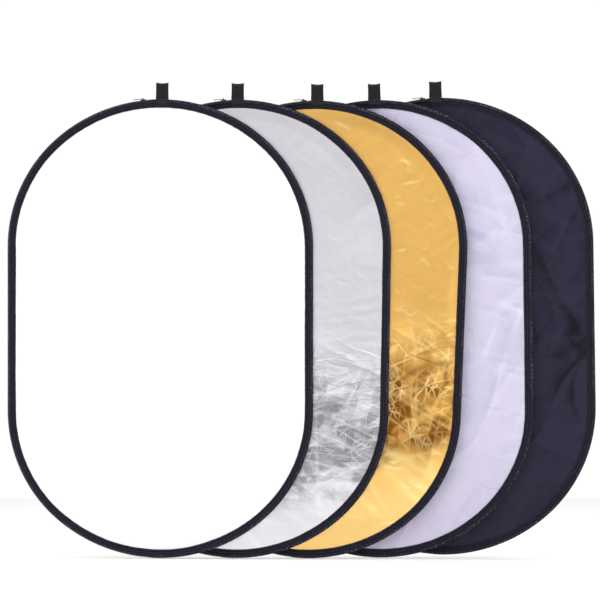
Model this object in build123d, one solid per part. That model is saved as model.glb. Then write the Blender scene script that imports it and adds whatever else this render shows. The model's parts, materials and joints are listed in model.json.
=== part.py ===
from build123d import *

import os
from math import cos, radians, sin

# Five-surface collapsible reflector set: five oval panels of one size, fanned out side by side and hung by
# the webbing loops at their tops. Four panels are zipped covers over a sprung hoop, each with a front and a
# back cloth, and the fourth in the row is a single translucent diffuser cloth on a hoop of its own.
# Frame: +X to the right, +Y away from the viewer, +Z up, origin in the first panel's hanging loop, at the
# centre of the arch that a hook or a rail fills.
# Each panel is drawn about its own centre, in the XZ plane, and then leaned and put in its place.

# ---- the oval: crown arcs top and bottom, shoulder arcs, straight sides -------------------------------
PANEL_W = 600.0
PANEL_H = 900.0
CROWN_R = 309.5
CROWN_HALF_ANGLE = 40.0

# ---- the rim: a round-edged bead over the hoop, and a thin sewn flange that grips the cloth -----------
BEAD_DEPTH = 8.0
BEAD_THICK = 9.0
BEAD_ROUND = 1.5
RIM_DEPTH = 16.5
FLANGE_THICK = 3.2

# ---- the sprung hoop: one steel band, its two ends held in a ferrule on the right-hand side -----------
BAND_INSET = 4.6
BAND_THICK = 0.8
BAND_WIDE = 5.0
BAND_END_GAP = 1.0
FERRULE_LONG = 40.0
FERRULE_WALL = 0.8
FIT_GAP = 0.05
ROOM = 0.1

# ---- the cloths ---------------------------------------------------------------------------------------
CLOTH_THICK = 0.3
CLOTH_INSET = 9.0
COVER_CLOTH_Y = 0.45

# ---- the zip: sunk in the left half of the rim, its coil standing proud of the edge tape ---------------
ZIP_START_X = -20.5
LIP_INSET = 2.0
GROOVE_DEPTH = 3.4
GROOVE_WIDE = 7.2
CHAIN_THICK = 2.4
CHAIN_WIDE = 4.4
TAPE_THICK = 0.8
STOP_LONG = 3.0

# ---- the slider, with its pull on a pin between two lugs ----------------------------------------------
SLIDER_ANGLE = 6.2
SLIDER_LONG = 11.0
SLIDER_WIDE = 8.4
SLIDER_RIDE = 0.3
SLIDER_PLATE = 1.0
SLIDER_WING_IN = 2.45
SLIDER_WING_OUT = 3.35
SLIDER_WING_DEPTH = 1.7
LUG_LONG = 2.6
LUG_IN = 1.9
LUG_OUT = 2.8
PIN_RISE = 2.6
PIN_R = 0.6
PIN_PLAY = 0.08
PULL_LONG = 20.0
PULL_NECK = 3.4
PULL_WIDE = 6.0
PULL_THICK = 1.2
PULL_EYE_R = 1.0
PULL_HOLE_R = 1.6

# ---- the hanging loop: webbing folded over the rim and sewn to it front and back ----------------------
LOOP_WIDE = 25.0
LOOP_THICK = 1.4
LOOP_INNER_R = 4.7
LOOP_RISE = 33.0
LOOP_BEND_DROP = 0.5
LOOP_FOOT_DROP = 3.0

# ---- the fan, front to back: name, zipped, X and lift from the first panel, lean to the right, and
# ---- how far round the crown its hand-sewn loop stands, to the right of the middle --------------------
LAYER_PITCH = 14.0
PANELS = [
    ("white", True, 0.0, 0.0, 0.0, 0.7),
    ("silver", True, 150.5, -0.5, 0.9, -1.1),
    ("gold", True, 297.0, -1.5, 2.3, -1.3),
    ("diffuser", False, 431.5, -0.5, -0.7, -1.0),
    ("black", True, 554.5, 4.5, -0.8, -1.3),
]

# ---- worked out from the sizes above ------------------------------------------------------------------
HALF_W = PANEL_W / 2
HALF_H = PANEL_H / 2
SHOULDER_R = (HALF_W - CROWN_R * sin(radians(CROWN_HALF_ANGLE))) / (1 - sin(radians(CROWN_HALF_ANGLE)))
CROWN_Z = HALF_H - CROWN_R
SIDE_Z = CROWN_Z + (CROWN_R - SHOULDER_R) * cos(radians(CROWN_HALF_ANGLE))
PIN_Z = HALF_H + PIN_RISE
ARCH_Z = HALF_H + LOOP_RISE - LOOP_THICK - LOOP_INNER_R


def round_crown(degrees, shape):
    """A shape drawn at the top of the crown, moved round the crown to the right."""
    return Pos(0, 0, CROWN_Z) * Rot(0, degrees, 0) * Pos(0, 0, -CROWN_Z) * shape


def panel_place(index):
    """Where a panel drawn about its own centre goes in the fan: the arch of the first loop is the origin."""
    _, _, middle_x, lift, lean, _ = PANELS[index]
    *_, first_turn = PANELS[0]
    first_turn = radians(first_turn)
    reach = ARCH_Z - CROWN_Z
    arch = Vector(reach * sin(first_turn), 0, CROWN_Z + reach * cos(first_turn))
    return Pos(Vector(middle_x, index * LAYER_PITCH, lift) - arch) * Rot(0, lean, 0)


def oval(inset):
    """The panel's outline, drawn in by inset, as a face in the XZ plane."""
    turn = CROWN_HALF_ANGLE
    crown, shoulder = CROWN_R - inset, SHOULDER_R - inset
    side = HALF_W - inset
    middle = HALF_W - SHOULDER_R
    edges = [
        CenterArc((0, CROWN_Z), crown, 90 - turn, 2 * turn),
        CenterArc((-middle, SIDE_Z), shoulder, 90 + turn, 90 - turn),
        Line((-side, SIDE_Z), (-side, -SIDE_Z)),
        CenterArc((-middle, -SIDE_Z), shoulder, 180, 90 - turn),
        CenterArc((0, -CROWN_Z), crown, 270 - turn, 2 * turn),
        CenterArc((middle, -SIDE_Z), shoulder, 270 + turn, 90 - turn),
        Line((side, -SIDE_Z), (side, SIDE_Z)),
        CenterArc((middle, SIDE_Z), shoulder, 0, 90 - turn),
    ]
    return Plane.XZ * make_face(edges)


def slab(inset, near_y, far_y):
    """A plate of the oval's shape between two depths."""
    return Pos(0, far_y, 0) * extrude(oval(inset), far_y - near_y)


def ring(outer_inset, inner_inset, near_y, far_y):
    """A band that follows the rim, between two insets and two depths."""
    return slab(outer_inset, near_y, far_y) - slab(inner_inset, near_y, far_y)


def block(x0, x1, y0, y1, z0, z1):
    """A box between two corners."""
    return Pos((x0 + x1) / 2, (y0 + y1) / 2, (z0 + z1) / 2) * Box(x1 - x0, y1 - y0, z1 - z0)


def left_of(x, far_x=-PANEL_W):
    """Everything from far_x to x, as a box to cut the rim with."""
    return block(far_x, x, -BEAD_THICK, BEAD_THICK, -PANEL_H, PANEL_H)


def at_top(half_long):
    """A narrow upright box over the middle of the crown."""
    return block(-half_long, half_long, -BEAD_THICK, BEAD_THICK, 0, PANEL_H)


def ferrule_block(grow):
    """The outside of the ferrule, on the right-hand straight side."""
    wall = FERRULE_WALL + grow
    inner = HALF_W - BAND_INSET - BAND_THICK - wall
    outer = HALF_W - BAND_INSET + wall
    half_y = BAND_WIDE / 2 + wall
    half_z = FERRULE_LONG / 2 + grow
    return block(inner, outer, -half_y, half_y, -half_z, half_z)


def hoop():
    """The sprung steel band, with a gap between its ends inside the ferrule."""
    band = ring(BAND_INSET, BAND_INSET + BAND_THICK, -BAND_WIDE / 2, BAND_WIDE / 2)
    gap = block(HALF_W / 2, PANEL_W, -BAND_WIDE, BAND_WIDE, -BAND_END_GAP / 2, BAND_END_GAP / 2)
    return band - gap


def hoop_ferrule():
    """The crimped sleeve over the band's two ends."""
    half_y = BAND_WIDE / 2 + FIT_GAP
    inner = HALF_W - BAND_INSET - BAND_THICK - FIT_GAP
    outer = HALF_W - BAND_INSET + FIT_GAP
    return ferrule_block(0) - block(inner, outer, -half_y, half_y, -FERRULE_LONG, FERRULE_LONG)


def cloth(y):
    """One cloth, flat at depth y, its edge inside the rim's flange."""
    return slab(CLOTH_INSET, y - CLOTH_THICK / 2, y + CLOTH_THICK / 2)


def rim_binding(zipped):
    """The black edge tape: bead and flange in one, with room for the hoop, the cloth and the zip."""
    half_bead, half_flange = BEAD_THICK / 2, FLANGE_THICK / 2
    bead = slab(0, -half_bead, half_bead)
    bead = fillet(bead.edges().filter_by(lambda e: abs(e.center().Y) > half_bead / 2), BEAD_ROUND)
    bead -= slab(BEAD_DEPTH, -half_bead, half_bead)
    body = bead + ring(BEAD_DEPTH - ROOM, RIM_DEPTH, -half_flange, half_flange)
    band_y = BAND_WIDE / 2 + ROOM
    body -= ring(BAND_INSET - ROOM, BAND_INSET + BAND_THICK + ROOM, -band_y, band_y)
    slot_y = CLOTH_THICK / 2 + FIT_GAP + (COVER_CLOTH_Y if zipped else 0)
    body -= slab(CLOTH_INSET - ROOM, -slot_y, slot_y)
    body -= ferrule_block(ROOM)
    if zipped:
        groove = ring(-ROOM, GROOVE_DEPTH, -GROOVE_WIDE / 2, GROOVE_WIDE / 2)
        groove += ring(-ROOM, LIP_INSET, -BEAD_THICK, BEAD_THICK)
        body -= groove & left_of(ZIP_START_X)
    return body


def zip_tape():
    """The woven strip along the bottom of the groove."""
    half_y = GROOVE_WIDE / 2 - FIT_GAP
    tape = ring(GROOVE_DEPTH - ROOM - TAPE_THICK, GROOVE_DEPTH - ROOM, -half_y, half_y)
    return tape & left_of(ZIP_START_X - ROOM)


def zip_row():
    """The chain's envelope all the way along the groove, before its ends are given to the stops."""
    row = ring(0, CHAIN_THICK, -CHAIN_WIDE / 2, CHAIN_WIDE / 2)
    return row & left_of(ZIP_START_X - ROOM)


def zip_chain():
    """The closed coil between the two stops."""
    return zip_row() & left_of(ZIP_START_X - STOP_LONG - 2 * ROOM)


def zip_stops():
    """The two metal stops, one at each end of the chain."""
    ends = left_of(ZIP_START_X - ROOM, ZIP_START_X - STOP_LONG)
    return zip_row() & ends


def zip_slider():
    """The slider: a plate over the chain, wings down both of its sides, and two lugs with a pin."""
    ride = -SLIDER_RIDE
    plate = ring(ride - SLIDER_PLATE, ride, -SLIDER_WIDE / 2, SLIDER_WIDE / 2) & at_top(SLIDER_LONG / 2)
    wing = ring(ride - ROOM, SLIDER_WING_DEPTH, SLIDER_WING_IN, SLIDER_WING_OUT) & at_top(SLIDER_LONG / 2)
    lug_foot = HALF_H + SLIDER_RIDE + SLIDER_PLATE / 2
    lug = block(-LUG_LONG / 2, LUG_LONG / 2, LUG_IN, LUG_OUT, lug_foot, PIN_Z)
    lug += Pos(0, LUG_OUT, PIN_Z) * (Plane.XZ * extrude(Circle(LUG_LONG / 2), LUG_OUT - LUG_IN))
    pin = Pos(0, LUG_OUT, PIN_Z) * (Plane.XZ * extrude(Circle(PIN_R), 2 * LUG_OUT))
    half = wing + lug
    return round_crown(-SLIDER_ANGLE, plate + half + mirror(half, Plane.XZ) + pin)


def zip_pull():
    """The flat pull, lying back over the chain, with its eye on the slider's pin."""
    half_neck, half_wide, half_thick = PULL_NECK / 2, PULL_WIDE / 2, PULL_THICK / 2
    shoulder = LUG_LONG / 2 + PULL_THICK
    outline = Polyline(
        (0, half_neck),
        (-shoulder, half_neck),
        (-shoulder - PULL_THICK, half_wide),
        (-PULL_LONG, half_wide),
        (-PULL_LONG, -half_wide),
        (-shoulder - PULL_THICK, -half_wide),
        (-shoulder, -half_neck),
        (0, -half_neck),
        close=True,
    )
    tab = Pos(0, 0, PIN_Z - half_thick) * extrude(make_face(outline), PULL_THICK)
    grip_hole = Pos(half_wide - PULL_LONG, 0, PIN_Z) * Cylinder(PULL_HOLE_R, 2 * PULL_THICK)
    eye = Pos(0, half_neck, PIN_Z) * (Plane.XZ * extrude(Circle(PULL_EYE_R), PULL_NECK))
    pin_hole = Pos(0, half_wide, PIN_Z) * (Plane.XZ * extrude(Circle(PIN_R + PIN_PLAY), PULL_WIDE))
    return round_crown(-SLIDER_ANGLE, tab - grip_hole + eye - pin_hole)


def strip(y0, z0, y1, z1):
    """A straight run of webbing in the YZ plane, its inner face from one point to the other."""
    out = LOOP_THICK
    corners = [(y0, z0), (y0 + out, z0), (y1 + out, z1), (y1, z1)]
    return make_face(Polyline(*corners, close=True))


def hang_loop():
    """The webbing loop: an arch over the rim, two legs, and a sewn pad on each side of the flange."""
    arch = Circle(LOOP_INNER_R + LOOP_THICK) - Circle(LOOP_INNER_R)
    arch &= Pos(0, LOOP_RISE / 2) * Rectangle(LOOP_RISE, LOOP_RISE)
    bend_z = HALF_H - BEAD_DEPTH - LOOP_BEND_DROP
    pad_y = FLANGE_THICK / 2
    pad_z = bend_z - LOOP_FOOT_DROP
    leg = strip(LOOP_INNER_R, ARCH_Z, LOOP_INNER_R, bend_z)
    leg += strip(LOOP_INNER_R, bend_z, pad_y, pad_z)
    leg += strip(pad_y, pad_z, pad_y, HALF_H - RIM_DEPTH)
    section = Pos(0, ARCH_Z) * arch + leg + mirror(leg, Plane.YZ)
    return extrude(Plane.YZ * section, LOOP_WIDE / 2, both=True)


def panel_parts(zipped):
    """Every piece of one panel, about the panel's own centre, its loop at the middle of the crown."""
    pieces = {
        "hoop": hoop(),
        "hoop_ferrule": hoop_ferrule(),
        "rim_binding": rim_binding(zipped),
        "hang_loop": hang_loop(),
    }
    if not zipped:
        pieces["cloth"] = cloth(0)
        return pieces
    pieces["front_cloth"] = cloth(-COVER_CLOTH_Y)
    pieces["back_cloth"] = cloth(COVER_CLOTH_Y)
    pieces["zip_tape"] = zip_tape()
    pieces["zip_chain"] = zip_chain()
    pieces["zip_stops"] = zip_stops()
    pieces["zip_slider"] = zip_slider()
    pieces["zip_pull"] = zip_pull()
    return pieces


os.makedirs("parts", exist_ok=True)
drawn = {zipped: panel_parts(zipped) for zipped in (True, False)}
for index, (name, zipped, *_, loop_turn) in enumerate(PANELS):
    for piece, shape in drawn[zipped].items():
        if piece == "hang_loop":
            shape = round_crown(loop_turn, shape)
        export_step(panel_place(index) * shape, f"parts/{name}_{piece}.step")
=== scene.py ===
import json
from math import cos, pi, radians, sin

import bpy
import numpy as np
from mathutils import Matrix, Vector


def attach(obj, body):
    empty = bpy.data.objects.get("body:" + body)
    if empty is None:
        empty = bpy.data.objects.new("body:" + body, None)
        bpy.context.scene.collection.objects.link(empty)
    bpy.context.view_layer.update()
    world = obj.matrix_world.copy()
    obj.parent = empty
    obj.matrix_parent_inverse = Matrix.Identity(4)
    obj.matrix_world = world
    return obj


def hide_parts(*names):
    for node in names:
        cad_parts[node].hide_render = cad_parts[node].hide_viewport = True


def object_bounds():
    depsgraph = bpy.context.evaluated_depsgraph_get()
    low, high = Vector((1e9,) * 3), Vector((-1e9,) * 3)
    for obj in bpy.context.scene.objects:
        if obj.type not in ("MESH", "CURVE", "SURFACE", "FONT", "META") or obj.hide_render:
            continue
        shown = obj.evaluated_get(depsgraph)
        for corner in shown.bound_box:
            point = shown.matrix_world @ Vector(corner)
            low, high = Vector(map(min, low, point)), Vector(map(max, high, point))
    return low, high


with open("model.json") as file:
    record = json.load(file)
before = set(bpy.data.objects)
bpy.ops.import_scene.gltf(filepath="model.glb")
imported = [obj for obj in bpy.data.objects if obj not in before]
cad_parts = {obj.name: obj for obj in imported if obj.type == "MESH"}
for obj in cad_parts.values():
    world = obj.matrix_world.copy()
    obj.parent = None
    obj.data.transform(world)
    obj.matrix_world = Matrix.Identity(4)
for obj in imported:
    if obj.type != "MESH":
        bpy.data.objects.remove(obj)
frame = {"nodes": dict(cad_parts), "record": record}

CAD_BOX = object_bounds()
MM = 0.001

# ---- the panel's own sizes, in metres, about its own centre ------------------------------------------
HALF_W = 300 * MM
HALF_H = 450 * MM
CROWN_R = 309.5 * MM
CROWN_HALF_ANGLE = radians(40)
SHOULDER_R = (HALF_W - CROWN_R * sin(CROWN_HALF_ANGLE)) / (1 - sin(CROWN_HALF_ANGLE))
CROWN_Z = HALF_H - CROWN_R
SIDE_Z = CROWN_Z + (CROWN_R - SHOULDER_R) * cos(CROWN_HALF_ANGLE)
RIM_DEPTH = 16.5 * MM
ARCH_Z = 476.9 * MM
LOOP_REACH = ARCH_Z - CROWN_Z
LOOP_TURN = {"white": 0.7, "silver": -1.1, "gold": -1.3, "diffuser": -1.0, "black": -1.3}
PANELS = tuple(LOOP_TURN)
ZIPPED = ("white", "silver", "gold", "black")


# ---- where each panel stands -------------------------------------------------------------------------
def panel_axes(name):
    """A panel's centre and its own X, Y and Z directions, from its hanging loop's mount."""
    eye = next(m for m in frame["record"]["mounts"] if m["name"] == name + "_loop_eye")
    turn = radians(LOOP_TURN[name])
    y_dir = np.array([0.0, 1.0, 0.0])
    loop_x = np.array(eye["axis"], float)
    loop_z = np.cross(loop_x, y_dir)
    x_dir = cos(turn) * loop_x + sin(turn) * loop_z
    z_dir = np.cross(x_dir, y_dir)
    crown_middle = np.array(eye["pos_m"]) - LOOP_REACH * loop_z
    return crown_middle - CROWN_Z * z_dir, x_dir, y_dir, z_dir


def round_crown(name, points, about=CROWN_Z):
    """Points drawn at the top of the crown, moved round it to where the panel's loop is sewn."""
    turn = radians(LOOP_TURN[name])
    p = np.asarray(points, float)
    x, z = p[:, 0], p[:, 2] - about
    return np.c_[x * cos(turn) + z * sin(turn), p[:, 1], about + z * cos(turn) - x * sin(turn)]


def to_row(name, points):
    """Points in a panel's own frame, as an (N, 3) array, moved to the row frame."""
    centre, x_dir, y_dir, z_dir = panel_axes(name)
    p = np.asarray(points, float)
    return centre + p[:, :1] * x_dir + p[:, 1:2] * y_dir + p[:, 2:3] * z_dir


def turned(name, directions):
    """Directions in a panel's own frame, turned to the row frame."""
    _, x_dir, y_dir, z_dir = panel_axes(name)
    d = np.asarray(directions, float)
    return d[:, :1] * x_dir + d[:, 1:2] * y_dir + d[:, 2:3] * z_dir


# ---- the oval ----------------------------------------------------------------------------------------
def oval_samples():
    """Closely spaced points on the outline and their outward normals, anticlockwise from the top."""
    turn, mid, quarter = CROWN_HALF_ANGLE, HALF_W - SHOULDER_R, pi / 2
    arcs = [
        (0, CROWN_Z, CROWN_R, quarter, quarter + turn),
        (-mid, SIDE_Z, SHOULDER_R, quarter + turn, pi),
        (-mid, -SIDE_Z, SHOULDER_R, pi, 3 * quarter - turn),
        (0, -CROWN_Z, CROWN_R, 3 * quarter - turn, 3 * quarter + turn),
        (mid, -SIDE_Z, SHOULDER_R, 3 * quarter + turn, 2 * pi),
        (mid, SIDE_Z, SHOULDER_R, 2 * pi, 2.5 * pi - turn),
        (0, CROWN_Z, CROWN_R, 2.5 * pi - turn, 2.5 * pi),
    ]
    points, normals = [], []
    for cx, cz, radius, start, end in arcs:
        angle = np.linspace(start, end, 400)
        normal = np.c_[np.cos(angle), np.sin(angle)]
        points.append(np.array([cx, cz]) + radius * normal)
        normals.append(normal)
    return np.vstack(points), np.vstack(normals)


OUTLINE, NORMALS = oval_samples()


def stations(spacing, inset, start=0.0, end=1.0):
    """Even stations along part of the rim: outline points, normals, and the distance of each along it."""
    line = OUTLINE - inset * NORMALS
    step = np.r_[0, np.cumsum(np.linalg.norm(np.diff(line, axis=0), axis=1))]
    count = int(round((end - start) * step[-1] / spacing))
    s = np.linspace(start, end, count, endpoint=end - start < 1) * step[-1]
    points = np.c_[np.interp(s, step, OUTLINE[:, 0]), np.interp(s, step, OUTLINE[:, 1])]
    normals = np.c_[np.interp(s, step, NORMALS[:, 0]), np.interp(s, step, NORMALS[:, 1])]
    return points, normals / np.linalg.norm(normals, axis=1)[:, None], s


def half_width_at(z, inset):
    """Half the oval's width at a height, drawn in by inset."""
    z = np.abs(z)
    crown = CROWN_R - inset
    shoulder = SHOULDER_R - inset
    on_crown = np.sqrt(np.clip(crown**2 - (z - CROWN_Z) ** 2, 0, None))
    on_shoulder = HALF_W - SHOULDER_R + np.sqrt(np.clip(shoulder**2 - (z - SIDE_Z) ** 2, 0, None))
    split = CROWN_Z + crown * cos(CROWN_HALF_ANGLE)
    return np.where(z > split, on_crown, np.where(z > SIDE_Z, on_shoulder, HALF_W - inset))


# ---- mesh helpers ------------------------------------------------------------------------------------
def new_piece(name, vertices, faces, body, slot, material, uv=None):
    """A smooth mesh piece that rides a body and takes the material it is given. The slot is not used."""
    mesh = bpy.data.meshes.new(name)
    mesh.from_pydata([tuple(v) for v in vertices], [], [tuple(f) for f in faces])
    if uv is not None:
        layer = mesh.uv_layers.new(name="cloth")
        loops = np.empty(len(mesh.loops), dtype=np.int64)
        mesh.loops.foreach_get("vertex_index", loops)
        layer.data.foreach_set("uv", np.asarray(uv, np.float32)[loops].ravel())
    mesh.materials.append(material)
    mesh.polygons.foreach_set("use_smooth", np.full(len(mesh.polygons), True))
    mesh.update()
    piece = bpy.data.objects.new(name, mesh)
    bpy.context.scene.collection.objects.link(piece)
    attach(piece, body)
    return piece


def ring_faces(rows, columns, closed_rows=True, closed_columns=True):
    """Quads between neighbouring rows and columns of a grid of vertices, row by row."""
    r = np.arange(rows if closed_rows else rows - 1)
    c = np.arange(columns if closed_columns else columns - 1)
    r, c = (a.ravel() for a in np.meshgrid(r, c, indexing="ij"))
    up, across = (r + 1) % rows, (c + 1) % columns
    return np.c_[r * columns + c, r * columns + across, up * columns + across, up * columns + c]


def upright(pairs, y=0.0):
    """X and Z pairs in a panel's plane, as points or directions, with their Y put in."""
    return np.c_[pairs[:, 0], np.full(len(pairs), y), pairs[:, 1]]


def swept(points, normals, inset, y):
    """A section carried along the outline: its insets and depths, a row for each station."""
    x = points[:, None, 0] - inset * normals[:, None, 0]
    z = points[:, None, 1] - inset * normals[:, None, 1]
    return np.stack([x, np.broadcast_to(y, x.shape), z], axis=-1)


BAR_STOPS = (-1.0, -0.82, -0.35, 0.35, 0.82, 1.0)
BAR_SWELL = (0.25, 0.8, 1.0, 1.0, 0.8, 0.25)
BAR_SIDES = 6


def rounded_bars(centres, along, across, up, half_long, half_wide, half_high):
    """Small round-ended bars, such as stitches: vertices and faces of them all. up is the raised side."""
    turn = np.arange(BAR_SIDES) * 2 * pi / BAR_SIDES
    shape = np.array([
        (stop * half_long, grow * np.cos(a) * half_wide, grow * np.sin(a) * half_high)
        for stop, grow in zip(BAR_STOPS, BAR_SWELL)
        for a in turn
    ])
    vertices = (
        centres[:, None, :]
        + shape[None, :, 0, None] * along[:, None, :]
        + shape[None, :, 1, None] * across[:, None, :]
        + shape[None, :, 2, None] * up[:, None, :]
    )
    body = ring_faces(len(BAR_STOPS), BAR_SIDES, closed_rows=False)
    each = len(shape)
    ends = np.array([np.arange(BAR_SIDES), each - 1 - np.arange(BAR_SIDES)])
    faces = []
    for i in range(len(centres)):
        faces.extend((body + each * i).tolist())
        faces.extend((ends + each * i).tolist())
    return vertices.reshape(-1, 3), faces


def joined(groups):
    """Groups of vertices and faces made into one."""
    vertices, faces = [], []
    for group_vertices, group_faces in groups:
        start = sum(len(v) for v in vertices)
        vertices.append(group_vertices)
        faces.extend([[i + start for i in face] for face in group_faces])
    return np.vstack(vertices), faces


def smooth_noise(s, length, wave, seed):
    """A smooth random curve along a closed line of that length, between about -1 and 1."""
    rng = np.random.default_rng(seed)
    count = max(8, int(length / wave))
    knots = rng.uniform(-1, 1, count)
    t = (s / length * count) % count
    low = t.astype(int)
    f = t - low
    f = f * f * (3 - 2 * f)
    return knots[low % count] * (1 - f) + knots[(low + 1) % count] * f


def smoothstep(x):
    """From 0 to 1 with level ends."""
    x = np.clip(x, 0, 1)
    return x * x * (3 - 2 * x)


# ---- materials ---------------------------------------------------------------------------------------
def link(tree, a, out, b, socket):
    """A link from one node's named output to another's input."""
    tree.links.new(a.outputs[out], b.inputs[socket])


def blank_material(name):
    """A new node material with its Principled shader."""
    material = bpy.data.materials.new(name)
    material.use_nodes = True
    return material, material.node_tree, material.node_tree.nodes["Principled BSDF"]


def weave_height(tree, pitch, source):
    """Crossed threads: the higher of two wave patterns, as an output. A wave of scale 1 repeats each pi / 10."""
    waves = []
    for direction in ("X", "Y"):
        wave = tree.nodes.new("ShaderNodeTexWave")
        wave.bands_direction = direction
        wave.inputs["Scale"].default_value = pi / 10 / pitch
        tree.links.new(source, wave.inputs["Vector"])
        waves.append(wave.outputs["Color"])
    return math_node(tree, "MAXIMUM", *waves)


def coordinates(tree, uv=False):
    """Either the mesh's own cloth map, in metres, or object coordinates."""
    if uv:
        node = tree.nodes.new("ShaderNodeUVMap")
        node.uv_map = "cloth"
        return node.outputs["UV"]
    return tree.nodes.new("ShaderNodeTexCoord").outputs["Object"]


def add_bump(tree, shader, height, strength, distance, before=None):
    """A bump node from a height output into the shader, after an earlier bump if there is one."""
    bump = tree.nodes.new("ShaderNodeBump")
    bump.inputs["Strength"].default_value = strength
    bump.inputs["Distance"].default_value = distance
    tree.links.new(height, bump.inputs["Height"])
    if before:
        link(tree, before, "Normal", bump, "Normal")
    link(tree, bump, "Normal", shader, "Normal")
    return bump


def noise_node(tree, source, scale, detail=4.0, roughness=0.55, distortion=0.0):
    """Soft cloudy noise over a place."""
    noise = tree.nodes.new("ShaderNodeTexNoise")
    noise.inputs["Scale"].default_value = scale
    noise.inputs["Detail"].default_value = detail
    noise.inputs["Roughness"].default_value = roughness
    noise.inputs["Distortion"].default_value = distortion
    tree.links.new(source, noise.inputs["Vector"])
    return noise


def ramp_node(tree, source, stops):
    """A colour ramp over a value: stops are (position, (r, g, b))."""
    ramp = tree.nodes.new("ShaderNodeValToRGB")
    elements = ramp.color_ramp.elements
    while len(elements) < len(stops):
        elements.new(0.5)
    for element, (position, colour) in zip(elements, stops):
        element.position = position
        element.color = (*colour, 1.0)
    tree.links.new(source, ramp.inputs["Fac"])
    return ramp


def tint(colour, factor):
    """A colour made lighter or darker."""
    return tuple(min(1.0, c * factor) for c in colour)


THREAD_STANDS = 0.3


def nylon_finish(shader, roughness, sheen):
    """The weak shine and sheen of woven nylon."""
    shader.inputs["Roughness"].default_value = roughness
    shader.inputs["Specular IOR Level"].default_value = 0.2
    shader.inputs["Sheen Weight"].default_value = sheen
    shader.inputs["Sheen Roughness"].default_value = 0.4


def cloth_material(name, colour, pitch, roughness, sheen, bump, spread=0.06, blotch=9.0, uv=True):
    """Woven nylon: thread weave, soft shade differences and a little sheen."""
    material, tree, shader = blank_material(name)
    source = coordinates(tree, uv)
    weave = weave_height(tree, pitch, source)
    noise = noise_node(tree, source, blotch, 5.0, 0.6)
    ends = [(0.3, tint(colour, 1 - spread)), (0.7, tint(colour, 1 + spread))]
    shade = ramp_node(tree, noise.outputs["Fac"], ends)
    link(tree, shade, "Color", shader, "Base Color")
    nylon_finish(shader, roughness, sheen)
    add_bump(tree, shader, weave, bump, pitch * THREAD_STANDS)
    return material


def attribute_value(tree, name):
    """A value stored on the cloth's vertices."""
    node = tree.nodes.new("ShaderNodeAttribute")
    node.attribute_name = name
    return node.outputs["Fac"]


def mix_colour(tree, factor, a, b):
    """A colour between two, each a colour or an output, by a factor output."""
    node = tree.nodes.new("ShaderNodeMix")
    node.data_type = "RGBA"
    tree.links.new(factor, node.inputs[0])
    for socket, value in ((node.inputs[6], a), (node.inputs[7], b)):
        if isinstance(value, tuple):
            socket.default_value = (*value, 1.0)
        else:
            tree.links.new(value, socket)
    return node.outputs[2]


def math_node(tree, operation, a, b):
    """A sum on two values, each a number or an output."""
    node = tree.nodes.new("ShaderNodeMath")
    node.operation = operation
    for socket, value in zip(node.inputs, (a, b)):
        if isinstance(value, (int, float)):
            socket.default_value = value
        else:
            tree.links.new(value, socket)
    return node.outputs["Value"]


def vector_node(tree, operation, a, b):
    """A sum on two vectors, each a tuple or an output."""
    node = tree.nodes.new("ShaderNodeVectorMath")
    node.operation = operation
    for socket, value in zip(node.inputs, (a, b)):
        if isinstance(value, tuple):
            socket.default_value = value
        else:
            tree.links.new(value, socket)
    return node


def range_node(tree, value, low, high, to_low, to_high):
    """A value carried smoothly from one range to another, held at its ends."""
    node = tree.nodes.new("ShaderNodeMapRange")
    node.interpolation_type = "SMOOTHSTEP"
    for socket, number in zip(("From Min", "From Max", "To Min", "To Max"), (low, high, to_low, to_high)):
        node.inputs[socket].default_value = number
    tree.links.new(value, node.inputs["Value"])
    return node.outputs["Result"]


FACET_LINE = 1.5 * MM


def facets(tree, source, turn, long, wide, place):
    """Crumpled facets, long one way: their edge lines, a painted shade value for each, and its tilt as a height.
    """
    wander = noise_node(tree, source, 7.0, 2.0, 0.5)
    sway = vector_node(tree, "SUBTRACT", wander.outputs["Color"], (0.5, 0.5, 0.5))
    sway = vector_node(tree, "MULTIPLY", sway.outputs["Vector"], (0.05, 0.05, 0.0))
    warped = vector_node(tree, "ADD", source, sway.outputs["Vector"])
    laid = tree.nodes.new("ShaderNodeMapping")
    laid.vector_type = "TEXTURE"
    laid.inputs["Location"].default_value = (place, 0, 0)
    laid.inputs["Rotation"].default_value = (0, 0, radians(turn))
    laid.inputs["Scale"].default_value = (long, wide, 1)
    link(tree, warped, "Vector", laid, "Vector")
    cell, border = (tree.nodes.new("ShaderNodeTexVoronoi") for _ in range(2))
    border.feature = "DISTANCE_TO_EDGE"
    for node in (cell, border):
        node.voronoi_dimensions = "2D"
        node.inputs["Scale"].default_value = 1.0
        link(tree, laid, "Vector", node, "Vector")
    # each facet's painted shade, from its cell's random colour
    own = tree.nodes.new("ShaderNodeSeparateColor")
    link(tree, cell, "Color", own, "Color")
    from_middle = vector_node(tree, "SUBTRACT", laid.outputs["Vector"], (0.0, 0.0, 0.0))
    tree.links.new(cell.outputs["Position"], from_middle.inputs[1])
    lean = vector_node(tree, "SUBTRACT", cell.outputs["Color"], (0.5, 0.5, 0.5))
    tilt = vector_node(tree, "DOT_PRODUCT", from_middle.outputs["Vector"], lean.outputs["Vector"])
    inside = range_node(tree, border.outputs["Distance"], 0.0, 0.12, 0.0, 1.0)
    height = math_node(tree, "MULTIPLY", tilt.outputs["Value"], inside)
    showing = noise_node(tree, source, 16.0, 2.0, 0.5)
    shown = range_node(tree, showing.outputs["Fac"], 0.44, 0.64, 0.0, 1.0)
    # edge lines, which the materials paint as highlights
    line = range_node(tree, border.outputs["Distance"], 0.0, FACET_LINE / wide, 1.0, 0.0)
    return math_node(tree, "MULTIPLY", line, shown), own.outputs["Blue"], height


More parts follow.
